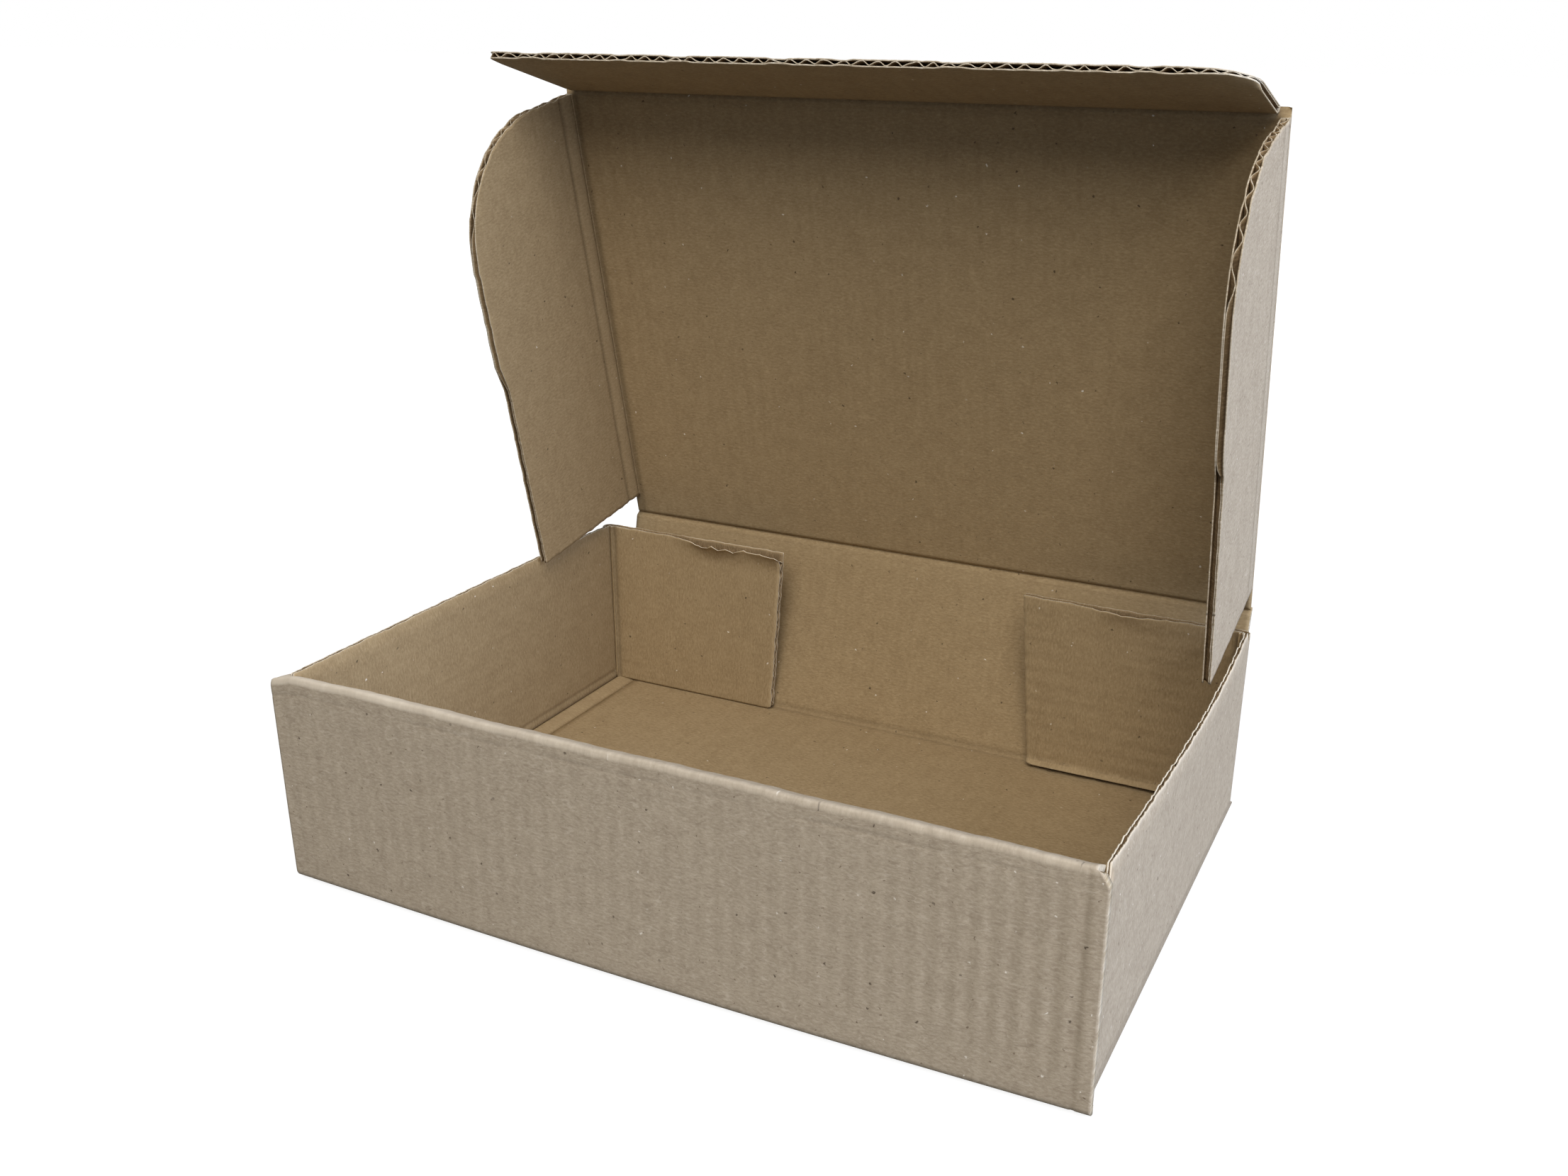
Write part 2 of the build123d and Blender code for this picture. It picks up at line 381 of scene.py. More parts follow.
def folded_line(corners, radii, spacing, steps=6):
    """A line with rounded corners: its points, the normals on its left and the distance along it."""
    corners = [np.array(corner, float) for corner in corners]
    ways = [(b - a) / np.linalg.norm(b - a) for a, b in zip(corners, corners[1:])]
    radii = np.broadcast_to(radii, len(ways) - 1)
    points, normals = [], []
    start = corners[0]
    for number, way in enumerate(ways):
        left = turned(way, math.pi / 2)
        end = corners[number + 1]
        bend = 0.0
        if number < len(ways) - 1:
            after = ways[number + 1]
            bend = math.atan2(way[0] * after[1] - way[1] * after[0], way @ after)
            end = end - radii[number] * math.tan(abs(bend) / 2) * way
        count = max(2, round(np.linalg.norm(end - start) / spacing))
        for share in np.linspace(0, 1, count + 1)[(1 if number else 0):]:
            points.append(start + share * (end - start))
            normals.append(left)
        if bend:
            arm = math.copysign(radii[number], bend)
            for angle in np.linspace(0, bend, steps + 1)[1:]:
                points.append(end + arm * (left - turned(left, angle)))
                normals.append(turned(left, angle))
            start = points[-1]
    points, normals = np.array(points), np.array(normals)
    run = np.concatenate([[0], np.cumsum(np.linalg.norm(np.diff(points, axis=0), axis=1))])
    return points, normals, run


def resampled(rows, run, *arrays):
    """Points or normals along a line, read at other distances."""
    return [np.stack([np.interp(rows, run, values[:, k]) for k in (0, 1)], axis=-1) for values in arrays]


# %% Board as slabs
def slab(bm, records, points, normals, sheet, low, high, skins=WHOLE_BOARD):
    """A closed slab between two depths along the normals, such as a liner or a whole board."""
    ends = [points + normals * np.broadcast_to(depth, points.shape[:2])[..., None] for depth in (low, high)]
    layer(bm, records, ends[0], ends[1], sheet, skins)


def open_board(bm, records, points, normals, sheet, inner, crush, seed):
    """Two liners with the fluting between them. inner presses the inner liner in."""
    across = sheet[..., 0]
    gauge = HALF * crush
    shift = 0.25 * ripple(seed, across, 23.0) + 0.32 * ripple(seed + 5, across, 6.3)
    height = WAVE_HEIGHT * crush * (1 + 0.16 * ripple(seed + 1, across, 7.0))
    wave = height * flute_wave(across + shift)
    slab(bm, records, points, normals, sheet, -gauge, -gauge + LINER, OUTER_LINER)
    slab(bm, records, points, normals, sheet, wave - FLUTING / 2, wave + FLUTING / 2, FLUTES)
    slab(bm, records, points, normals, sheet, gauge - LINER - inner, gauge - inner, INNER_LINER)


def sheet_of(across, along, wear_and_painted_light=0.0):
    """The sheet attribute: the place on the flat sheet, and wear with painted highlights and painted shade.
    """
    return np.stack(np.broadcast_arrays(across, along, np.clip(wear_and_painted_light, -1, 1)), axis=-1)


# %% [markdown]
# ## Rolled front wall
# The front wall is one strip that comes up from the floor, rolls over the front tabs, goes down inside and
# ends in two tongues in the floor. Separate panels would leave seams at the folds, so one line with
# rounded corners is drawn from the side and swept across. The flutes stand upright, so a washboard runs
# down the panel and is strongest at its right end. The panel bulges a little at its foot. The roll's right
# corner is cut off, and its left one droops.

# %% The front strip's line, seen from the side
BAND = 4.6
FLOOR_EDGE = WALL_X - BAND - HALF
FLOOR_FRONT = WALL_FRONT + 1.0
FOLD_ZONE = FRONT_Y + 1.5
ROLL_BEND = 0.2
ROLL_BELOW = HALF / math.cos(ROLL_SLOPE)
ROW_SPACING = 1.25
BEND_STEPS = 8
line, sides, run = folded_line(
    [(FLOOR_FRONT, FLOOR_Z), (FRONT_Y, FLOOR_Z), (FRONT_Y, roll_top(FRONT_Y) - ROLL_BELOW),
     (INNER_FRONT_Y, roll_top(INNER_FRONT_Y) - ROLL_BELOW), (INNER_FRONT_Y, FOOT)],
    (BEND, ROLL_BEND, ROLL_BEND), ROW_SPACING, BEND_STEPS)
fold = run[np.argmin(np.abs(sides[:, 1] - 0.7) + 9 * (line[:, 0] > FOLD_ZONE))]
rows = np.union1d(run, fold - np.arange(0.35, 3.6, 0.25))
line, sides = resampled(rows, run, line, sides)
run = rows
print("front strip:", len(run), "rows, fold at", round(float(fold), 2), "mm")

# %% How far the front strip reaches, and its thickness at the folds
CORNER_CUT = 2.0
CORNER_CUT_HEIGHT = 3.4
CRISP = 0.3
upper = line[:, 1] > FRONT_HEIGHT / 2
on_top = upper & (sides[:, 1] > 0.5)
below_top = FRONT_HEIGHT + ROLL_RISE - line[:, 1] - HALF * sides[:, 1]
corner_cut = np.where(on_top, CORNER_CUT, CORNER_CUT * fade(below_top, CORNER_CUT_HEIGHT))
reach = np.full(len(run), FRONT_HALF)
reach[(line[:, 0] > WALL_FRONT + 0.05) & (line[:, 1] < FLOOR_Z + 0.01)] = FLOOR_EDGE
reach[(line[:, 0] > INNER_FRONT_Y - 0.4) & (sides[:, 1] < 0.5)] = ROLL_HALF
turn = math.pi / 2 + ROLL_SLOPE
lean = np.arccos(np.clip(-sides[:, 0], -1, 1))
sharper = 1 / np.cos(np.clip(np.minimum(lean, turn - lean), 0, 1)) - 1
crisp = np.where(upper & (line[:, 0] < FOLD_ZONE), 1 + CRISP * sharper, 1.0)
bending = np.abs(np.gradient(np.unwrap(np.arctan2(sides[:, 1], sides[:, 0])))) > 0.001
inside = np.where(bending & upper, 0.8 * ROLL_BEND, HALF)
print("front strip reaches", sorted(set(reach.tolist())), "mm to each side")

# %% The front strip's shape
FRONT_COLUMNS = 401
CORNER_DROOP = 1.4
DROOP_START = 72.4
DROOP_HEIGHT = 12
U, S = grid(np.linspace(-1, 1, FRONT_COLUMNS), run)
X = U * (reach - np.where(U > 0, corner_cut, 0.0))
Y, Z = (np.broadcast_to(line[:, k], X.shape) for k in (0, 1))
foot = fade(Z, FRONT_HEIGHT) ** 2
bow = -(0.3 + 0.9 * foot) * np.cos(math.pi * X / (2 * FRONT_HALF)) * ramp(-Y, -FLOOR_FRONT, -WALL_FRONT)
sag = 0.25 * X / FRONT_HALF + 0.12 * ripple(5, X, 40.0) + 0.05 * ripple(6, X, 7.0)
sag = sag * ramp(Z, 0, FRONT_HEIGHT)
droop = CORNER_DROOP * ramp(-X, DROOP_START, FRONT_HALF) * ramp(-Y, -INNER_FRONT_Y, -FRONT_Y)
droop = droop * ramp(Z, FRONT_HEIGHT - DROOP_HEIGHT, FRONT_HEIGHT)
points = np.stack([X, Y + bow, Z + sag - droop], axis=-1)
normals = -np.stack([np.zeros_like(X)] + [np.broadcast_to(sides[:, k], X.shape) for k in (0, 1)], axis=-1)
print("front bulges by", round(float(-bow.min()), 2), "mm")

# %% The front strip's relief, wear, painted highlight and painted shade
WASHBOARD = 0.024
RIGHT_WASHBOARD = 0.05
END_SCORE = 2.9
# The roll's top is rubbed pale, and partly given a painted highlight that is stronger on the left.
ROLL_RUB_AND_HIGHLIGHT = 0.8
right_end = ramp(X, 15, 70) ** 1.5
face = ramp(S, 4.0, 10.0) * ramp(-S, 0.6 - fold, 4.0 - fold)
washboard = (WASHBOARD + RIGHT_WASHBOARD * right_end) * (1 + 0.4 * ripple(9, S, 25.0))
washboard = washboard * flute_wave(X) * face
end_score = dent(np.abs(X), FRONT_HALF - END_SCORE, 0.3) * np.where(X > 0, 1, 0.4) * (S < fold)
patchy = 0.6 + 0.5 * ripple(12, X, 30.0)
score = 0.06 * patchy * dent(S, fold - 2.3, 0.45) + 0.12 * end_score
# rubbed is the roll's top, rubbed pale and partly a painted highlight. The faint crease below the fold and
# the end scores are darkened with painted shade.
rubbed = ramp(S, fold - 0.2, fold - 0.12) * ramp(-S, -fold - 6.0, -fold - 1.0)
rubbed = rubbed * (1 - 0.6 * ramp(X, -60, 10))
wear_and_painted_light = ROLL_RUB_AND_HIGHLIGHT * rubbed * (0.9 + 0.15 * ripple(14, X, 24.0)) - 0.08 * patchy * dent(S, fold - 2.2, 0.35)
wear_and_painted_light = wear_and_painted_light - 0.1 * end_score
wear_and_painted_light = wear_and_painted_light + 0.2 * ramp(np.abs(X), FRONT_HALF - 0.7, FRONT_HALF) * face * (0.7 + 0.6 * ripple(16, S, 9.0))
bm, records = bmesh.new(), []
slab(bm, records, points, normals, sheet_of(X, WALL_FRONT - S, wear_and_painted_light),
     -HALF * crisp + washboard + score, inside)
print("front strip:", len(bm.verts), "points")

# %% The tongues
TONGUE_WIDTH = 24.0
TONGUE_SPACING = 74.0
TONGUE_SLIM = 0.03
TONGUE_OVERLAP = 0.3
for side in (-1, 1):
    X, Z = grid(side * TONGUE_SPACING / 2 + TONGUE_WIDTH / 2 * np.linspace(-1, 1, 9),
                np.linspace(FOOT + TONGUE_OVERLAP, LAYER_GAP, 4))
    points, normals = flat((0, INNER_FRONT_Y, 0), ACROSS, (0, 0, 1), (0, -1, 0), X, Z)
    slab(bm, records, points, normals, sheet_of(X, WALL_FRONT - run[-1] + Z),
         -HALF + TONGUE_SLIM, HALF - TONGUE_SLIM)
finish_piece("front_strip", bm, records, "tray", "tray")

# %% [markdown]
# ## Side walls and floor
# Each side wall is bent up from the floor. Its flutes lie along the wall, so its top edge shows the two
# liners with a groove between them. Flutes along an edge don't show their wave there, so the core is one
# slab that stays a little below the liners, darkened at the top with painted shade for the gap. A second
# score runs beside the fold on the floor, and the scores get painted shade. Under the roll the wall is cut
# lower.

# %% The scores of a side wall
def wall_relief(S, fold, end, rubbed):
    """How deep the inner liner is pressed beside a side wall's fold, with the top edge rubbed pale, painted
    shade in the scores and bead, and a painted lighter band on the floor.
    """
    second_score = dent(S, fold - 2.8, 0.4)
    floor_score = dent(S, end - 0.4, 0.4)
    slope = 0.45 * ramp(-S, -end, BAND - end) * ramp(S, fold, fold + 1.0)
    press = 0.2 * second_score - 0.22 * dent(S, fold - 1.6, 0.6) + 0.22 * dent(S, fold - 0.3, 0.35)
    press = press + 0.2 * floor_score - slope
    # Painted light: the floor band past the fold is made paler. The scores and the bead are darkened with
    # painted shade, and the top edge is rubbed pale.
    wear_and_painted_light = rubbed * fade(S, 0.8) + 0.12 * ramp(S, fold + 0.3, fold + 1.0)
    wear_and_painted_light = wear_and_painted_light - 0.15 * second_score - 0.22 * dent(S, fold - 1.7, 0.9) - 0.35 * dent(S, fold - 0.2, 0.35)
    return press, wear_and_painted_light - 0.28 * floor_score


# %% The side walls
GLUE = 0.02
LEFT_ROLL_END = -0.7
STEP_EDGE = 0.0005
CLOSE_ROWS = [0, 0.3, 0.6, 1.0, 1.5, 2.2]
FOLD_ROWS = WALL_TOP - 6


def side_wall(name, side, bulge, rough, rubbed, seed):
    """One side wall with its fold and the scored band beside it on the floor."""
    path, left, run = folded_line(
        [(-WALL_X, WALL_TOP), (-WALL_X, FLOOR_Z), (-FLOOR_EDGE, FLOOR_Z)], BEND, 1.0)
    rows = np.concatenate([CLOSE_ROWS, np.linspace(3.2, FOLD_ROWS, 16)[:-1],
                           np.linspace(FOLD_ROWS, run[-1], 27)])
    path, left = resampled(rows, run, path, left)
    run = rows
    roll_end = INNER_FRONT_Y + (HALF - LAYER_GAP if side > 0 else LEFT_ROLL_END)
    step = (roll_end - WALL_FRONT - HALF - BEND) / (WALL_BACK - WALL_FRONT - 2 * HALF - 2 * BEND)
    stations = np.concatenate([np.linspace(0, step - STEP_EDGE, 5), np.linspace(step + STEP_EDGE, 1, 200)])
    S, T = grid(run, stations)
    X, Z = (np.broadcast_to(path[:, k][:, None], S.shape) for k in (0, 1))
    flatness = ramp(S, WALL_TOP - 3.4, WALL_TOP - 1.8)
    begin = (WALL_FRONT + HALF + BEND) * (1 - flatness) + WALL_FRONT * flatness
    end = (WALL_BACK - HALF - BEND) * (1 - flatness) + BACK_FOLD.y * flatness
    Y = begin + T * (end - begin)
    push = -bulge * np.sin(math.pi * T ** 1.2) * (Z / WALL_TOP) ** 1.6
    under_roll = np.where(T < step, WALL_TOP - roll_top(Y) + BOARD + LAYER_GAP, 0.0)
    ragged = 0.07 * ripple(seed, Y, 9.0) + rough * ripple(seed + 4, Y, 2.2)
    top = fade(S, 4.0)
    points = np.stack([-side * (X + push), Y, Z + (ragged - under_roll) * top], axis=-1)
    normals = np.stack([-side * left[:, 0], np.zeros(len(left)), left[:, 1]], axis=-1)
    normals = normals[:, None, :].repeat(len(stations), axis=1)
    fold = WALL_TOP - HALF
    press, wear_and_painted_light = wall_relief(S, fold, run[-1], rubbed)
    across = side * (WALL_X + fold - S)
    sheet = sheet_of(across, Y, wear_and_painted_light)
    near_top = fade(S, 2.0)
    spread = (0.06 * ripple(seed + 7, Y, 9.0) + 0.04 * ripple(seed + 9, Y, 2.0) - 0.4) * near_top
    bm, records = bmesh.new(), []
    slab(bm, records, points, normals, sheet, -HALF - spread, -HALF + LINER - spread, OUTER_LINER)
    points[..., 2] += 0.8 * rough * ripple(seed + 12, Y, 2.8) * top
    slab(bm, records, points, normals, sheet,
         HALF - LINER - press + spread, HALF - press + spread, INNER_LINER)
    points[..., 2] -= fade(S, 1.2) * (0.16 + 0.16 * ripple(seed + 2, Y, 5.0))
    # The core is darkened towards the top edge with painted shade, for the gap between the liners.
    slab(bm, records, points, normals, sheet_of(across, Y, -0.5 * near_top),
         -HALF + LINER - spread + GLUE, HALF - LINER - press + spread - GLUE, CRUSHED_CORE)
    finish_piece(name, bm, records, "tray", "tray")


side_wall("left_wall", -1, 0.3, 0.04, 0.3, 21)
side_wall("right_wall", 1, 1.3, 0.15, 0.75, 33)

# %% [markdown]
# The floor has two slots, in which the tongues stand. A boolean cut would make uneven faces, so the floor
# is laid in pieces round the slots. Its back edge is the round nose of the back wall's fold.

# %% The floor
FLOOR_SPACING = 1.6
SLOT_PLAY = 0.3
SLOT_HALF = TONGUE_WIDTH / 2 + SLOT_PLAY
SLOT_FRONT = INNER_FRONT_Y - HALF - SLOT_PLAY
SLOT_BACK = INNER_FRONT_Y + HALF + SLOT_PLAY
inner_end = TONGUE_SPACING / 2 - SLOT_HALF
outer_end = TONGUE_SPACING / 2 + SLOT_HALF
floor_end = BACK_FOLD.y + HALF - NOSE_TIP
bm, records = bmesh.new(), []
for x_low, x_high, y_low, y_high, rows in (
        (-FLOOR_EDGE, FLOOR_EDGE, FLOOR_FRONT, SLOT_FRONT, 3),
        (-FLOOR_EDGE, -outer_end, SLOT_FRONT, SLOT_BACK, 3),
        (-inner_end, inner_end, SLOT_FRONT, SLOT_BACK, 3),
        (outer_end, FLOOR_EDGE, SLOT_FRONT, SLOT_BACK, 3),
        (-FLOOR_EDGE, FLOOR_EDGE, SLOT_BACK, floor_end, 110)):
    columns = max(3, round((x_high - x_low) / FLOOR_SPACING))
    X, Y = grid(np.linspace(x_low, x_high, columns), np.linspace(y_low, y_high, rows))
    nose = nose_depth(Y - BACK_FOLD.y, HALF)
    points, normals = flat((0, 0, FLOOR_Z), ACROSS, (0, 1, 0), (0, 0, 1), X, Y)
    # The crease before the back fold is pressed in and darkened with painted shade.
    crease = dent(Y, BACK_FOLD.y - 1.2, 0.5)
    slab(bm, records, points, normals, sheet_of(X, Y, -0.2 * crease), -nose, nose - 0.2 * crease)
finish_piece("floor_panel", bm, records, "tray", "tray")

# %% [markdown]
# ## Corner tabs
# A tab is bent in from each end of each side wall. The front tabs are locked inside the roll, so they are
# plain slabs. The back tabs stand loose before the back wall. Their flutes lie level, so an upright free
# edge shows the flute ends, and they are made of three layers. The left tab's top edge has come apart, and
# the right tab's foot is crumpled.

# %% The front tabs
FRONT_TAB = 45.0
for side, name in ((-1, "left_front_tab"), (1, "right_front_tab")):
    path, left, run = folded_line(
        [(-WALL_X, WALL_FRONT + HALF + BEND), (-WALL_X, WALL_FRONT + HALF),
         (-WALL_X + HALF + FRONT_TAB, WALL_FRONT + HALF)], BEND, 2.0)
    H, S = grid(np.linspace(0, 1, 24), run)
    X, Y = (np.broadcast_to(path[:, k], S.shape) for k in (0, 1))
    Z = FOOT + H * (roll_top(Y + HALF) - BOARD - LAYER_GAP - FOOT)
    points = np.stack([-side * X, Y, Z], axis=-1)
    normals = np.stack([-side * np.broadcast_to(left[:, 0], S.shape), np.broadcast_to(left[:, 1], S.shape),
                        np.zeros_like(S)], axis=-1)
    bm, records = bmesh.new(), []
    slab(bm, records, points, normals, sheet_of(side * (WALL_X + Z), WALL_FRONT - S),
         -HALF + GLUE, HALF - GLUE)
    finish_piece(name, bm, records, "tray", "tray")

# %% The back tabs
TAB_LENGTH = 45.7
TAB_TAPER = 3.0
TAB_ROUND = 0.9
TAB_FOOT = 1.8
TAB_ROWS = 96
TAB_WASHBOARD = 0.006
CRUMPLED_WASHBOARD = 0.017
CURL = 1.7
CORE_DROP = 1.8


def back_tab(name, side, torn, slit, crumpled, seed):
    """One loose tab with its bend at the side wall."""
    path, left, run = folded_line(
        [(-WALL_X, WALL_BACK - HALF - BEND - 0.6), (-WALL_X, WALL_BACK - HALF),
         (-WALL_X + HALF + TAB_LENGTH, WALL_BACK - HALF)], BEND, 0.9)
    # Outline
    H, T = grid(np.linspace(TAB_FOOT, WALL_TOP, TAB_ROWS), run / run[-1])
    low = np.clip(TAB_ROUND - (H - TAB_FOOT), 0, TAB_ROUND)
    rounding = TAB_ROUND - np.sqrt(TAB_ROUND ** 2 - low ** 2)
    finish = run[-1] - TAB_TAPER * (1 - ramp(H, TAB_FOOT, WALL_TOP)) - rounding + 0.1 * ripple(seed, H, 5.0)
    S = T * finish
    X, Y = (np.interp(S, run, path[:, k]) for k in (0, 1))
    along = np.clip(S / run[-1], 0, 1)
    # Parted top edge and crumpled foot
    near_top = ramp(H, WALL_TOP - 5.0, WALL_TOP)
    near_foot = ramp(-H, -TAB_FOOT - 1.8, -TAB_FOOT)
    parted = torn * ramp(along, slit[0], slit[0] + 0.15) * ramp(-along, -slit[1], 0.15 - slit[1])
    curl = parted * near_top ** 2 * (0.8 + 0.4 * ripple(seed + 11, S, 26.0))
    fold_up = crumpled * near_foot * ramp(along, 0.04, 0.15) * (
        1 + 0.2 * ripple(seed + 12, S, 13.0) + 0.12 * ripple(seed + 13, S, 4.5))
    toe = near_foot ** 2 * ramp(along, 0.93, 1.0)
    ragged = 0.08 * ripple(seed + 3, S, 5.0) * ramp(H, WALL_TOP - 1.0, WALL_TOP)
    bow = -0.5 * crumpled * np.sin(math.pi * along) * (H - TAB_FOOT) / WALL_TOP
    height = H + ragged + 0.8 * fold_up + (0.7 * crumpled - 0.3) * toe
    points = np.stack([-side * X, Y + bow - 1.5 * fold_up - 0.8 * toe, height], axis=-1)
    normals = np.stack([side * np.interp(S, run, left[:, 0]), -np.interp(S, run, left[:, 1]),
                        np.zeros_like(S)], axis=-1)
    # Creases, wear and painted light: the grooves and the foot's crease get painted shade, the bead a painted
    # highlight
    groove = 0.7 * dent(S, 0.2, 0.3) + dent(S, 3.0, 0.35)
    bead = dent(S, 1.4, 0.55)
    press = 0.2 * groove - 0.8 * bead
    wear_and_painted_light = (0.15 + 0.7 * np.clip(parted, 0, 1)) * near_top ** 10 + 0.5 * ramp(S, finish - 0.6, finish)
    wear_and_painted_light = wear_and_painted_light + 0.1 * crumpled * ramp(near_foot, 0.05, 0.3) + 0.4 * crumpled * near_foot ** 6
    wear_and_painted_light = wear_and_painted_light - 0.4 * groove + 0.15 * bead
    wear_and_painted_light = wear_and_painted_light - 0.3 * crumpled * dent(H, TAB_FOOT + 1.7, 0.3) * (0.6 + 0.4 * ripple(seed + 14, S, 9.0))
    sheet = sheet_of(side * (WALL_X + H), WALL_BACK + S, wear_and_painted_light)
    washboard = (TAB_WASHBOARD + CRUMPLED_WASHBOARD * crumpled) * flute_wave(H)
    washboard = washboard * (1 + ripple(seed + 5, S, 30.0) * 0.5)
    # Three layers
    inner = press + washboard - CURL * curl
    wave = WAVE_HEIGHT * flute_wave(H + 0.25 * ripple(seed, H, 23.0))
    bm, records = bmesh.new(), []
    slab(bm, records, points, normals, sheet, -HALF, -HALF + LINER, OUTER_LINER)
    torn_down = parted[..., None] * ramp(H, WALL_TOP - 3.0, WALL_TOP)[..., None]
    middle = points - torn_down * np.array((0, 0, CORE_DROP))
    lift = np.clip(-press, 0, None)
    slab(bm, records, middle, normals, sheet, wave - FLUTING / 2 - np.clip(press, 0, 0.2),
         wave + FLUTING / 2 - np.clip(press, 0, 0.2) + lift, FLUTES)
    points[..., 2] -= parted * ramp(H, WALL_TOP - 1.5, WALL_TOP) * (
        0.5 + 0.35 * ripple(seed + 6, S, 8.0) + 0.18 * ripple(seed + 8, S, 2.4))
    slab(bm, records, points, normals, sheet, HALF - LINER - inner, HALF - inner, INNER_LINER)
    finish_piece(name, bm, records, "tray", "tray")


back_tab("left_tab", -1, 1.0, (0.4, 1.2), 0.0, 41)
back_tab("right_tab", 1, 0.5, (0.3, 0.75), 1.0, 57)

# %% [markdown]
# ## Back wall and lid
# Both are plain panels between two folds. A fold is a rounded nose about the fold's line, on both of the
# panels that meet there, so it stays closed when the lid turns. Square ends would gape on one side and cut
# through each other on the other. Beside the hinge and the tuck fold the inner side is pressed back, and
# the noses stop early, so that these folds have room to close.

# %% Noses
SLIM = HALF - NOSE_TIP
HINGE_CLOSES = 0.9
TUCK_CLOSES = 0.72
HINGE_TURN = 48
TUCK_TURN = 54
NEAR_FOLD = 3.0


def cut_back(thick, room):
    """The inner side beside a fold, pressed back to leave room for the fold to close."""
    return np.maximum(NOSE_TIP - thick, np.minimum(thick, room - NOSE_TIP))


def stations_with_noses(low, high, count, radius, low_turn=90, high_turn=90):
    """Even distances between two folds, with close ones round each nose as far as it turns."""
    low_bend, high_bend = (radius * np.sin(np.radians(np.linspace(0, turn, 6)))
                           for turn in (low_turn, high_turn))
    near = np.linspace(0, NEAR_FOLD, 9)[1:]
    even = np.linspace(low + NEAR_FOLD, high - NEAR_FOLD, count)[1:-1]
    return np.concatenate([(low - low_bend)[:0:-1], [low], low + near, even, (high - near)[::-1], [high],
                           (high + high_bend)[1:]])


# %% The back wall
PLAIN_WASHBOARD = 0.008
X, V = grid(np.linspace(-BACK_HALF, BACK_HALF, 180),
            stations_with_noses(0, BACK_HEIGHT, 24, SLIM, 90, HINGE_TURN))
points, normals = flat(BACK_FOLD, ACROSS, BACK_UP, BACK_IN, X, V)
thick = np.minimum(nose_depth(-V, SLIM), nose_depth(V - BACK_HEIGHT, SLIM))
# The low crease is pressed in and darkened with painted shade. A band under the hinge is made a little paler.
low_crease = 0.6 * dent(V, 1.4, 0.6)
washboard = PLAIN_WASHBOARD * flute_wave(X) * (0.6 + 0.6 * ripple(60, V, 40.0))
wear_and_painted_light = 0.1 * dent(V, BACK_HEIGHT - 2.6, 1.2) - 0.3 * low_crease
bm, records = bmesh.new(), []
slab(bm, records, points, normals, sheet_of(X, BACK_FOLD.y + V, wear_and_painted_light), -thick,
     cut_back(thick, HINGE_CLOSES * (BACK_HEIGHT - V)) - 0.2 * low_crease + washboard)
finish_piece("back_panel", bm, records, "back_wall", "back_wall")

# %% The lid
X, V = grid(stations_with_noses(-LID_HALF, LID_HALF, 150, HALF),
            stations_with_noses(0, LID_LENGTH, 56, SLIM, HINGE_TURN, TUCK_TURN))
points, normals = flat(HINGE, ACROSS, LID_UP, LID_IN, X, V)
past = np.hypot(np.clip(np.abs(X) - LID_HALF, 0, None), np.clip(V - LID_LENGTH, 0, None))
thick = np.minimum(nose_depth(past, HALF), nose_depth(-V, SLIM))
room = np.minimum(HINGE_CLOSES * V, TUCK_CLOSES * (LID_LENGTH - V))
# Painted shade: the creases by the tuck fold and the ear folds, and a wider band beside the ear folds, are
# darkened. edge_crease also presses the inner side in.
edge_crease = dent(LID_LENGTH - V, 1.6, 0.6) + dent(LID_HALF - np.abs(X), 1.3, 0.6)
side_shade = dent(LID_HALF - np.abs(X), 1.0, 0.9)
washboard = PLAIN_WASHBOARD * flute_wave(X) * (0.6 + 0.6 * ripple(70, V, 40.0))
off_folds = np.abs(V - LID_LENGTH / 2) < LID_LENGTH / 2 - 1
bm, records = bmesh.new(), []
slab(bm, records, points, normals, sheet_of(X, HINGE_ON_SHEET + V, -0.12 * edge_crease - 0.28 * side_shade),
     -thick, cut_back(thick, room) - (0.12 * edge_crease - washboard) * off_folds)
finish_piece("lid_panel", bm, records, "lid", "lid")

# %% [markdown]
# ## Ears
# An ear is cut round at its front end and has a small step on its long free edge. Its flutes run along
# the fold, so the flute ends show round the front and at the hinge end. The rows of points follow the
# curved outline, because a plain grid cut by it would give a jagged edge. A second score lies beside the
# fold.

# %% The ears' sizes
EAR_WIDTH = 40.0
EAR_STEP = 1.4
EAR_STEP_START = 47.0
EAR_STEP_LENGTH = 7.5
EAR_REAR = 5.3
EAR_TAPER = 1.7
EAR_FRONT = 98.4
EAR_ROUND = 25.0
EAR_SCORE = 5.2
EAR_OPEN = math.radians(0.5)
EAR_NOSE = HALF - 0.03
NOSE_ROWS = -EAR_NOSE * np.sin(np.linspace(math.pi / 2, 0, 5))[:-1]
NOSE_SLIM = 0.01
print("ears are", EAR_WIDTH, "mm wide and", round(EAR_FRONT - EAR_REAR, 1), "mm long")


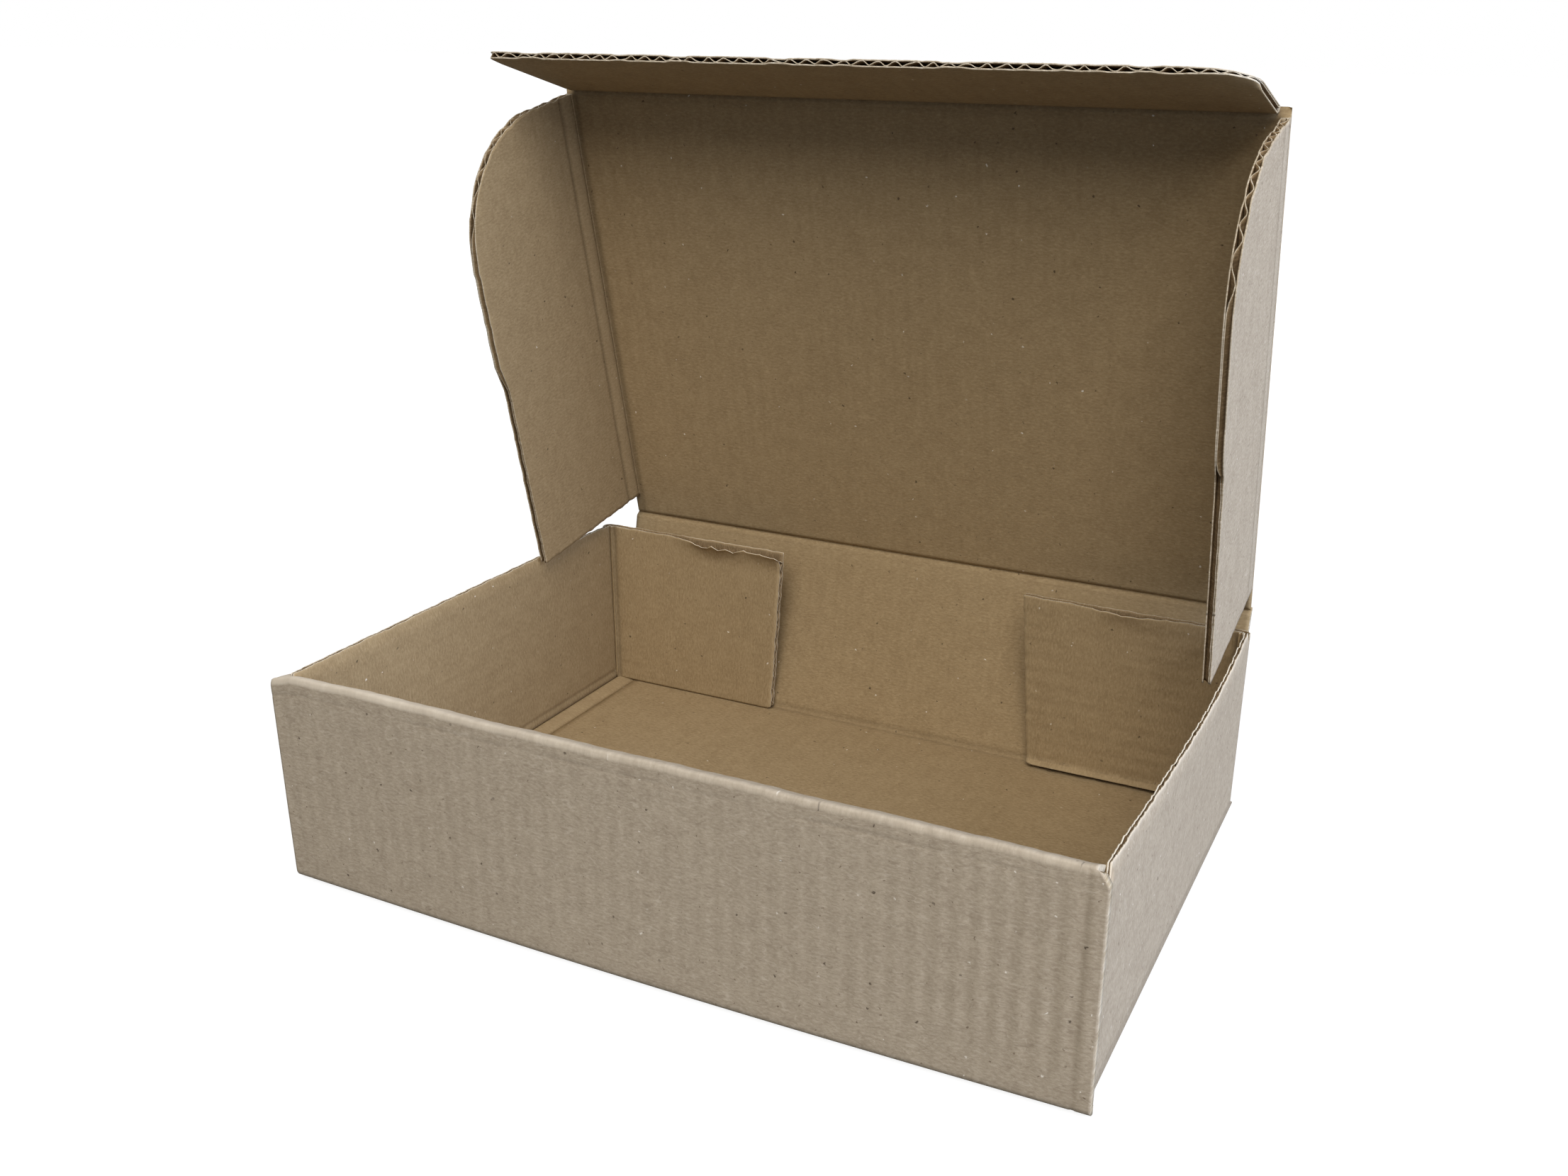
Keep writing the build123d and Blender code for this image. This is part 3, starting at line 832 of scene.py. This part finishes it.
# %% The ears
def ear(name, side, body, seed):
    """One ear of the lid: a fluted panel and the bend that joins it to the lid."""
    across = np.concatenate([NOSE_ROWS, np.linspace(0, 1.2, 5)[:-1], np.linspace(1.2, EAR_WIDTH, 96)])
    shares = np.concatenate([np.linspace(0, 0.03, 5)[:-1], np.linspace(0.03, 0.97, 46),
                             np.linspace(0.97, 1, 5)[1:]])
    W, T = grid(across, shares)
    beyond = np.clip(W - (EAR_WIDTH - EAR_ROUND), 0, EAR_ROUND)
    finish = EAR_FRONT - EAR_ROUND + np.sqrt(EAR_ROUND ** 2 - beyond ** 2) + 0.12 * ripple(seed, W, 6.0)
    begin = EAR_REAR + EAR_TAPER * ramp(W, 0, EAR_WIDTH) + 0.1 * ripple(seed + 1, W, 5.0)
    V = begin + T * (finish - begin)
    climb = ramp(V, EAR_STEP_START, EAR_STEP_START + EAR_STEP_LENGTH)
    step = EAR_STEP * (1 - climb ** 2 * (3 - 2 * climb))
    W = W - (step + 0.08 * ripple(seed + 2, V, 4.0)) * ramp(W, EAR_WIDTH - 7.0, EAR_WIDTH)
    outward = ACROSS * side
    across_way = math.cos(EAR_OPEN) * LID_IN + math.sin(EAR_OPEN) * outward
    inward = -math.cos(EAR_OPEN) * outward + math.sin(EAR_OPEN) * LID_IN
    points, normals = flat(HINGE + LID_HALF * outward, across_way, LID_UP, inward, W, V)
    # The score grooves are darkened with painted shade. The band between the fold and the second score is
    # made paler as a painted highlight on its bulge. The free edge is rubbed pale.
    groove = dent(W, EAR_SCORE, 0.5) + 0.8 * dent(W, 1.4, 0.5)
    score = 0.2 * groove
    band = 0.25 * np.clip((EAR_SCORE - W) / EAR_SCORE, 0, 1) * (W > 0.8)
    wear_and_painted_light = 0.1 * ramp(-W, -EAR_SCORE, 1 - EAR_SCORE) * (W > 1.0) + 0.2 * ramp(W, EAR_WIDTH - 1.5, EAR_WIDTH)
    sheet = sheet_of(side * (LID_HALF + W), HINGE_ON_SHEET + V, wear_and_painted_light - 0.28 * groove)
    crush = 1 - 0.2 * np.clip(ripple(seed + 3, W, 9.0), 0, 1) * ramp(T, 0.96, 1.0)
    thick = nose_depth(-W, EAR_NOSE)
    inner = thick - score + band
    bm, records = bmesh.new(), []
    panel = W[:, 0] >= 0.9
    open_board(bm, records, points[panel], normals[panel], sheet[panel],
               (score - band)[panel], crush[panel], seed)
    bend = W[:, 0] <= 1.6
    slab(bm, records, points[bend], normals[bend], sheet[bend], -thick[bend], inner[bend] - NOSE_SLIM)
    finish_piece(name, bm, records, body, body)


ear("left_ear_panel", -1, "left_ear", 81)
ear("right_ear_panel", 1, "right_ear", 97)

# %% [markdown]
# ## Tuck flap
# The flutes end at the flap's free edge, where the zigzag of the fluting shows between the liners. It is
# the longest row of flute ends on the box, so the wave is real geometry with many columns and not a
# texture. The right corner is worn round and crushed. The left corner is still sharp.

# %% The tuck flap's outline
TUCK_OPEN = math.radians(115.0)
TUCK_HALF = 71.8
TUCK_LENGTH = 28.0
TUCK_CORNER = 1.0
TUCK_WORN_CORNER = 7.0
TUCK_BAND = 1.3
TUCK_EDGE = 26.5
TUCK_COLUMNS = 340
TUCK_UP = -math.cos(TUCK_OPEN) * LID_UP + math.sin(TUCK_OPEN) * LID_IN
TUCK_IN = -math.sin(TUCK_OPEN) * LID_UP - math.cos(TUCK_OPEN) * LID_IN
stations = np.concatenate([NOSE_ROWS, np.linspace(0, TUCK_BAND, 4)[:-1],
                           np.linspace(TUCK_BAND, TUCK_EDGE, 14),
                           np.linspace(TUCK_EDGE, TUCK_LENGTH, 5)[1:]])
columns = np.concatenate([np.linspace(-TUCK_HALF, -TUCK_HALF + 1, 6)[:-1],
                          np.linspace(-TUCK_HALF + 1, TUCK_HALF - 2, TUCK_COLUMNS),
                          np.linspace(TUCK_HALF - 2, TUCK_HALF, 9)[1:]])
X, V = grid(columns, stations)
rounding = np.where(X < 0, TUCK_CORNER, TUCK_WORN_CORNER)
beyond = np.clip(np.abs(X) - TUCK_HALF + rounding, 0, rounding)
limit = TUCK_LENGTH - rounding + np.sqrt(np.clip(rounding ** 2 - beyond ** 2, 0, None))
limit = limit + 0.1 * ripple(110, X, 4.0) + 0.05 * ripple(111, X, 1.4)
drawn = TUCK_BAND + (V - TUCK_BAND) * (limit - TUCK_BAND) / (TUCK_LENGTH - TUCK_BAND)
V = np.where(V > TUCK_BAND, drawn, V)
points, normals = flat(LID_FRONT, ACROSS, TUCK_UP, TUCK_IN, X, V)
print("tuck flap:", len(columns), "by", len(stations), "points a layer")

# %% The tuck flap
TUCK_GROOVE = 0.14
# The groove beside the fold is darkened with painted shade. The free edge and the right corner are rubbed
# pale.
groove = dent(V, 1.6, 0.5)
wear_and_painted_light = 0.2 * ramp(V, limit - 0.8, limit) + 0.4 * ramp(X, 62, 70) * ramp(V, limit - 2.0, limit) - 0.2 * groove
sheet = sheet_of(X, HINGE_ON_SHEET + LID_LENGTH + V, wear_and_painted_light)
crush = 1 - (0.2 + 0.25 * np.clip(ripple(113, X, 13.0), 0, 1)) * ramp(V, limit - 2.5, limit)
crush = crush * (1 - 0.45 * ramp(X, 60, 70) * ramp(V, limit - 3.0, limit))
press = TUCK_GROOVE * groove + np.clip(HALF - TUCK_CLOSES * V + NOSE_TIP, 0, HALF)
thick = nose_depth(-V, EAR_NOSE)
inner = cut_back(thick, TUCK_CLOSES * V) - TUCK_GROOVE * groove * (V > 1)
bm, records = bmesh.new(), []
panel = stations >= 0.85
open_board(bm, records, points[:, panel], normals[:, panel], sheet[:, panel],
           press[:, panel], crush[:, panel], 115)
bend = stations <= 1.5
slab(bm, records, points[:, bend], normals[:, bend], sheet[:, bend],
     -thick[:, bend], inner[:, bend] - NOSE_SLIM)
finish_piece("tuck_panel", bm, records, "tuck_flap", "tuck_flap")

# %% [markdown]
# ## Table, light and camera
# The box stands on a plain white table. A wide soft lamp on the right gives the pale right wall and leaves
# the inside of the box in shade. More light would make the background white too, but would also bleach the
# box. So the table and the world look white to the camera and light the box plainly.

# %% The table's material
TABLE_BASE = (0.09, 0.09, 0.09, 1.0)
TABLE_SHADOW = (0.2, 0.2, 0.2, 1.0)
WHITE = (1, 1, 1, 1)
NEAR_BOX, FAR_FROM_BOX = 0.15, 0.7
NEAR_GLOW = 0.86


def seen_directly(tree):
    """1 for what the camera sees, also in gloss or through glass, and 0 for light on the box."""
    rays = add(tree, "ShaderNodeLightPath", {})
    total = rays.outputs["Is Camera Ray"]
    for ray in ("Is Glossy Ray", "Is Transmission Ray"):
        total = calc(tree, "MAXIMUM", total, rays.outputs[ray])
    return total


def stage_material():
    """A table that looks white to the camera, keeps soft shadows and is plain white far from the box."""
    material = bpy.data.materials.new("White table")
    material.use_nodes = True
    tree = material.node_tree
    shader = tree.nodes["Principled BSDF"]
    shader.inputs["Base Color"].default_value = TABLE_BASE
    shader.inputs["Roughness"].default_value = 0.9
    place = add(tree, "ShaderNodeTexCoord", {}).outputs["Object"]
    away = add(tree, "ShaderNodeVectorMath", {0: place}, operation="LENGTH").outputs["Value"]
    strength = graded(tree, away, NEAR_BOX, FAR_FROM_BOX, NEAR_GLOW, 1.0)
    white = add(tree, "ShaderNodeEmission", {"Color": WHITE, "Strength": strength})
    soft = add(tree, "ShaderNodeBsdfDiffuse", {"Color": TABLE_SHADOW})
    seen = add(tree, "ShaderNodeAddShader", {0: white.outputs[0], 1: soft.outputs[0]})
    mix = add(tree, "ShaderNodeMixShader",
              {0: seen_directly(tree), 1: shader.outputs[0], 2: seen.outputs[0]})
    tree.links.new(mix.outputs[0], tree.nodes["Material Output"].inputs["Surface"])
    return material


# %% The table
TABLE_SIZE = 20.0
TABLE_DROP = 0.0003
bm = bmesh.new()
bmesh.ops.create_grid(bm, x_segments=1, y_segments=1, size=TABLE_SIZE)
bmesh.ops.translate(bm, verts=bm.verts[:], vec=(0, 0, -TABLE_DROP))
mesh = bpy.data.meshes.new("table")
bm.to_mesh(mesh)
bm.free()
mesh.materials.append(stage_material())
table = bpy.data.objects.new("table", mesh)
bpy.context.scene.collection.objects.link(table)
print("table lies", TABLE_DROP / MM, "mm under the box")

# %% The room's light
ROOM_TONE = "#e6f2ff"
ROOM_STRENGTH = 0.2
world = bpy.data.worlds.new("Studio")
bpy.context.scene.world = world
world.use_nodes = True
tree = world.node_tree
ambient = add(tree, "ShaderNodeBackground", {"Color": tint(ROOM_TONE), "Strength": ROOM_STRENGTH})
backdrop = add(tree, "ShaderNodeBackground", {"Color": WHITE, "Strength": 1.0})
mix = add(tree, "ShaderNodeMixShader",
          {0: seen_directly(tree), 1: ambient.outputs[0], 2: backdrop.outputs[0]})
tree.links.new(mix.outputs[0], tree.nodes["World Output"].inputs["Surface"])
print("world light:", ROOM_STRENGTH)


# %% The lamps
def lamp(name, place, target, size, power, colour):
    """A square soft lamp aimed at a point."""
    light = bpy.data.lights.new(name, "AREA")
    light.color = tint(colour)[:3]
    light.shape = "SQUARE"
    light.size = size
    light.energy = power
    lamp_object = bpy.data.objects.new(name, light)
    lamp_object.location = place
    lamp_object.rotation_euler = (Vector(target) - Vector(place)).to_track_quat("-Z", "Y").to_euler()
    bpy.context.scene.collection.objects.link(lamp_object)
    print("lamp", name, power, "W")


lamp("window", (1.0, -0.06, 0.38), (0.0, 0.0, 0.04), 0.7, 12.2, "#dfeaff")
lamp("back", (-0.75, 0.85, 0.75), (0.0, 0.0, 0.06), 0.9, 7.0, "#ffffff")
lamp("softbox", (0.25, -0.75, 0.92), (0.0, 0.0, 0.04), 0.8, 12.4, "#fffaf2")

# %% [markdown]
# The camera was fitted to the photograph: its place, its three angles, its focal length in pixels and the
# shift of the picture's centre. The three directions of its view follow from the angles.

# %% The camera
IMAGE_WIDTH = 2212.0
FOCAL_PIXELS = 2061.3
CENTRE_SHIFT = (117.8, 44.2)
CAMERA_PLACE = Vector((117.53, -226.50, 146.48)) * MM
YAW, PITCH_DOWN, ROLL = (math.radians(angle) for angle in (24.271, 21.209, -1.095))
forward = Vector((-math.sin(YAW) * math.cos(PITCH_DOWN), math.cos(YAW) * math.cos(PITCH_DOWN),
                  -math.sin(PITCH_DOWN)))
right_way = Vector((math.cos(YAW), math.sin(YAW), 0.0))
down_way = forward.cross(right_way)
rolled_right = math.cos(ROLL) * right_way + math.sin(ROLL) * down_way
rolled_down = math.cos(ROLL) * down_way - math.sin(ROLL) * right_way
camera = bpy.data.cameras.new("photo view")
camera.sensor_width = 36.0
camera.sensor_fit = "HORIZONTAL"
camera.lens = FOCAL_PIXELS / IMAGE_WIDTH * camera.sensor_width
camera.shift_x = -CENTRE_SHIFT[0] / IMAGE_WIDTH
camera.shift_y = CENTRE_SHIFT[1] / IMAGE_WIDTH
camera.clip_start = 0.01
camera_object = bpy.data.objects.new("photo view", camera)
axes = Matrix((rolled_right, -rolled_down, -forward)).transposed()
camera_object.matrix_world = Matrix.Translation(CAMERA_PLACE) @ axes.to_4x4()
bpy.context.scene.collection.objects.link(camera_object)
bpy.context.scene.camera = camera_object
bpy.context.scene.view_settings.view_transform = "Standard"
print("lens:", round(camera.lens, 1), "mm")
